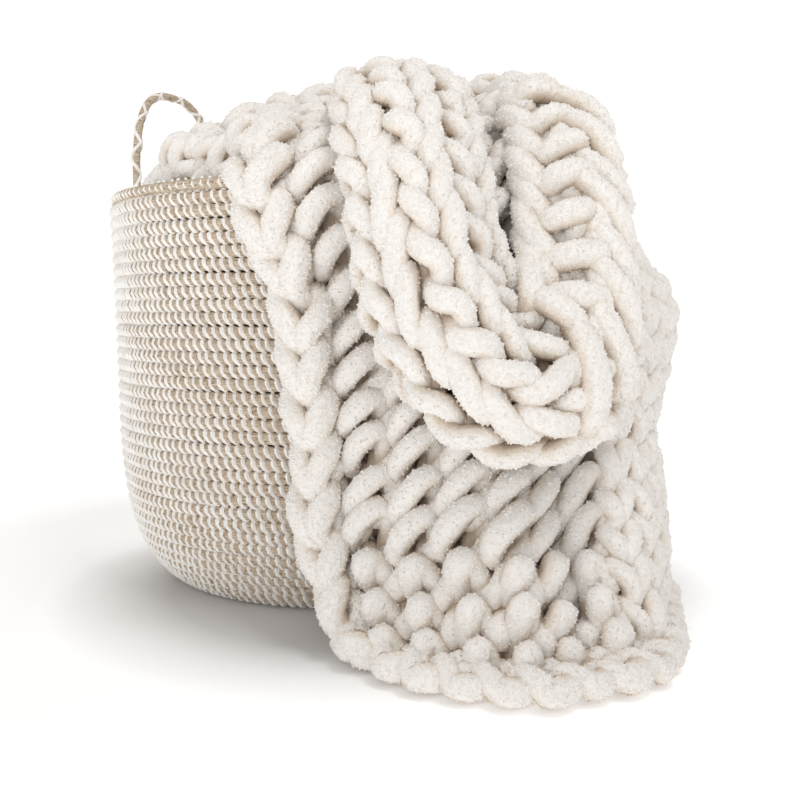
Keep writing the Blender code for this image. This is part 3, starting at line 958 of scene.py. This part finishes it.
def coil_section():
    """Radius, height and outward tilt of each round on the wall, from base to rim."""
    outline = even_line([(MM * radius, 0.0, MM * height) for height, radius in BASKET_PROFILE], 400)
    along = np.gradient(outline, axis=0)
    along /= np.linalg.norm(along, axis=1, keepdims=True)
    outward = np.stack([along[:, 2], along[:, 1], -along[:, 0]], axis=1)
    centres = outline - COIL * outward
    inside = np.nonzero((centres[:, 2] >= COIL) & (centres[:, 2] <= RIM_HEIGHT - COIL))[0]
    picks = np.linspace(inside[0], inside[-1], WALL_ROUNDS).round().astype(int)
    tilts = np.arctan2(outward[picks, 2], outward[picks, 0])
    return list(zip(centres[picks, 0], centres[picks, 2], tilts))


def ring(radius, height):
    """A closed ring of grass, a little uneven, as a path and its thickness."""
    turn = np.linspace(0, 2 * math.pi, RING_STEPS + 1)
    sway = 1 + 0.0012 * np.sin(3 * turn + 40 * height) + 0.0008 * np.sin(8 * turn + 90 * height)
    line = np.stack([radius * sway * np.cos(turn), radius * sway * np.sin(turn),
                     np.full(len(turn), height)], axis=1)
    return plain_path(line, np.full(len(turn), COIL))


def make_grass():
    """Dry grass: fine stripes that run round the basket, tan with brown spots."""
    material, tree, shader = new_material("coiled grass", 0.7)
    split = tree.nodes.new("ShaderNodeSeparateXYZ")
    place = tree.nodes.new("ShaderNodeTexCoord")
    tree.links.new(place.outputs["Object"], split.inputs["Vector"])
    turn = tree.nodes.new("ShaderNodeMath")
    turn.operation = "ARCTAN2"
    tree.links.new(split.outputs["Y"], turn.inputs[0])
    tree.links.new(split.outputs["X"], turn.inputs[1])
    around = tree.nodes.new("ShaderNodeCombineXYZ")
    tree.links.new(turn.outputs[0], around.inputs["X"])
    tree.links.new(split.outputs["Z"], around.inputs["Z"])
    stripes = add_noise(tree, 1.0, 3.0, 0.6, (18.0, 1.0, 1400.0), around.outputs["Vector"])
    spots = add_noise(tree, 1.0, 3.0, 0.7, (60.0, 1.0, 260.0), around.outputs["Vector"])
    straw = add_ramp(tree, stripes, ((0.3, (0.30, 0.21, 0.13)), (0.5, (0.57, 0.47, 0.36)),
                                     (0.72, (0.80, 0.73, 0.63))))
    mix = tree.nodes.new("ShaderNodeMix")
    mix.data_type = "RGBA"
    mix.blend_type = "MULTIPLY"
    dark = add_ramp(tree, spots, ((0.33, (0.45, 0.34, 0.24)), (0.47, (1.0, 1.0, 1.0))))
    mix.inputs["Factor"].default_value = 1.0
    tree.links.new(straw, mix.inputs["A"])
    tree.links.new(dark, mix.inputs["B"])
    tree.links.new(mix.outputs["Result"], shader.inputs["Base Color"])
    add_bump(tree, shader, stripes, 0.6, 0.0006)
    return material


rounds = coil_section()
base_rounds = [(radius, COIL, 0.0) for radius in np.arange(rounds[0][0] - 2 * COIL, COIL, -2 * COIL)]
grass = make_grass()
rings = [ring(radius, height) for radius, height, _ in rounds + base_rounds]
coils_piece = make_yarn("basket_coils", rings, grass, sides=7, lump=0.0008, scale=160.0)
belongs(coils_piece, "coiled_grass", "basket")

# %% [markdown]
# One strip is drawn once: a thin band that lies on the outside of a round, straight down at first
# and then swinging sideways where it enters the round below. Its section is a low triangle. The
# tree sets one strip on each point of a guide, turned to face outward.


# %% Sewn strips
STRIP_WIDTH = 0.0044
STRIP_LIFT = 0.0014
STRIP_SWING = 0.0046
STRIP_STEPS = 4


def strip_shape(name, top, bottom):
    """A closed band round the outside of a coil that lies along Y, facing +X."""
    turns = np.radians(np.linspace(top, bottom, STRIP_STEPS + 1))
    points = []
    for turn in turns:
        swing = STRIP_SWING * (0.5 * (1 - math.sin(max(-1.5, min(turn, 1.5))))) ** 1.6
        for across, lift in ((-0.5, -0.0004), (0.05, STRIP_LIFT), (0.5, -0.0004)):
            reach = COIL + lift
            points.append((reach * math.cos(turn), swing + STRIP_WIDTH * across, reach * math.sin(turn)))
    faces = []
    for k in range(STRIP_STEPS):
        for corner in range(3):
            near, far = 3 * k + corner, 3 * k + (corner + 1) % 3
            faces.append((near, near + 3, far + 3, far))
    last = 3 * STRIP_STEPS
    faces.extend([(2, 1, 0), (last, last + 1, last + 2)])
    mesh = bpy.data.meshes.new(name)
    mesh.from_pydata(points, [], faces)
    return bpy.data.objects.new(name, mesh)


def make_strip_tree():
    """Points with angles in, one strip on each out."""
    tree, start, end = new_tree("strips on points")
    add_input(tree, "Strip", "NodeSocketObject", None)
    add_input(tree, "Material", "NodeSocketMaterial", None)
    points = tree.nodes.new("GeometryNodeMeshToPoints")
    source = tree.nodes.new("GeometryNodeObjectInfo")
    tree.links.new(start.outputs["Strip"], source.inputs["Object"])
    angles = tree.nodes.new("GeometryNodeInputNamedAttribute")
    angles.data_type = "FLOAT_VECTOR"
    angles.inputs["Name"].default_value = "angles"
    sizes = tree.nodes.new("GeometryNodeInputNamedAttribute")
    sizes.data_type = "FLOAT_VECTOR"
    sizes.inputs["Name"].default_value = "sizes"
    place = tree.nodes.new("GeometryNodeInstanceOnPoints")
    tree.links.new(source.outputs["Geometry"], place.inputs["Instance"])
    tree.links.new(angles.outputs["Attribute"], place.inputs["Rotation"])
    tree.links.new(sizes.outputs["Attribute"], place.inputs["Scale"])
    realize = tree.nodes.new("GeometryNodeRealizeInstances")
    paint = tree.nodes.new("GeometryNodeSetMaterial")
    tree.links.new(start.outputs["Material"], paint.inputs["Material"])
    tree.links.new(start.outputs["Geometry"], points.inputs["Mesh"])
    chain(tree, points, place, realize, paint, end)
    return tree


def make_strips(name, section, shape, tree, material):
    """Strips sewn round every given coil."""
    places, angles, sizes = [], [], []
    for number, (radius, height, tilt) in enumerate(section):
        count = int(round(2 * math.pi * radius / STRIP_PITCH))
        for k in range(count):
            turn = 2 * math.pi * (k + 0.37 * number + random.normal(0, 0.05)) / count
            places.append((radius * math.cos(turn), radius * math.sin(turn), height))
            angles.append((random.normal(0, 0.04), -tilt, turn))
            sizes.append((1.0, random.uniform(0.85, 1.12), 1.0))
    mesh = bpy.data.meshes.new(name + "_points")
    mesh.from_pydata(places, [], [])
    for label, values in (("angles", angles), ("sizes", sizes)):
        attribute = mesh.attributes.new(label, "FLOAT_VECTOR", "POINT")
        attribute.data.foreach_set("vector", np.array(values, dtype=np.float32).ravel())
    guide = bpy.data.objects.new(name + "_points", mesh)
    scene.collection.objects.link(guide)
    return run_tree(name, guide, tree, {"Strip": shape, "Material": material})


def make_strip_material():
    """Pale sewn strips, slightly striped along their length."""
    material, tree, shader = new_material("sewn strip", 0.55)
    streak = add_noise(tree, 500.0, 2.0, 0.6, (1.0, 1.0, 0.25))
    patch = add_noise(tree, 30.0, 1.0, 0.5)
    blend = tree.nodes.new("ShaderNodeMath")
    blend.operation = "MULTIPLY"
    tree.links.new(streak, blend.inputs[0])
    tree.links.new(patch, blend.inputs[1])
    colour = add_ramp(tree, blend.outputs[0], ((0.1, (0.90, 0.87, 0.82)), (0.3, (0.98, 0.97, 0.95))))
    tree.links.new(colour, shader.inputs["Base Color"])
    add_bump(tree, shader, streak, 0.4, 0.0004)
    return material


strip_material = make_strip_material()
strip_tree = make_strip_tree()
wall_strip = strip_shape("wall_strip", 85, -80)
rim_strip = strip_shape("rim_strip", 235, -80)
strips_piece = make_strips("basket_strips", rounds[:-1], wall_strip, strip_tree, strip_material)
belongs(strips_piece, "coiled_grass")
rim_piece = make_strips("basket_rim_strips", rounds[-1:], rim_strip, strip_tree, strip_material)
belongs(rim_piece, "coiled_grass")

# %% [markdown]
# The handle is a grass cord under two pale strips that cross each other, so that small triangles of
# grass show between them. It stands on the rim at the left, leaning a little outward.

# %% Handle
HANDLE_HEIGHT = 0.127
HANDLE_FEET = (167.0, 133.0)
HANDLE_SQUARENESS = 0.72
HANDLE_LEAN = 0.006
HANDLE_STEPS = 160
RIM_MIDDLE = 0.230
CORD = 0.0040
LACE = 0.0017
LACE_TURNS = 9.5


def handle_line():
    """The handle's middle line, an arch over two feet on the rim."""
    feet = [RIM_MIDDLE * np.array([math.cos(math.radians(turn)), math.sin(math.radians(turn)), 0.0])
            for turn in HANDLE_FEET]
    centre = 0.5 * (feet[0] + feet[1])
    half = 0.5 * (feet[1] - feet[0])
    outward = centre / np.linalg.norm(centre)
    points = []
    for turn in np.linspace(0, math.pi, HANDLE_STEPS + 1):
        side = -math.copysign(abs(math.cos(turn)) ** HANDLE_SQUARENESS, math.cos(turn))
        lift = abs(math.sin(turn)) ** HANDLE_SQUARENESS
        point = centre + half * side + outward * HANDLE_LEAN * lift
        point[2] = RIM_HEIGHT + HANDLE_HEIGHT * lift
        points.append(point)
    return even_line(points, HANDLE_STEPS)


cord_line = handle_line()
print("handle from", cord_line[0], "over", cord_line[HANDLE_STEPS // 2], "to", cord_line[-1])
cord_piece = make_yarn("handle_cord", [plain_path(cord_line, np.full(len(cord_line), CORD))], grass,
                       sides=10, lump=0.0010, scale=200.0)
belongs(cord_piece, "rope", "handle")
laces = twist(cord_line, 1, CORD, LACE_TURNS, LACE) + twist(cord_line, 1, CORD, -LACE_TURNS, LACE)
lace_piece = make_yarn("handle_lace", laces, strip_material, sides=8, lump=0.0004, scale=200.0)
belongs(lace_piece, "rope")

# %% [markdown]
# Every piece of yarn gets its pile, denser on the small pieces in front than on the heap, which is
# further away.

# %% Pile
PILE = (
    # piece, tufts per square metre
    (panel_piece, 50000.0),
    (swag_piece, 60000.0),
    (heap_piece, 30000.0),
    (side_piece, 100000.0),
    (arm_piece, 100000.0),
    (hem_piece, 90000.0),
)
for piece, density in PILE:
    make_pile(piece, density, plush)
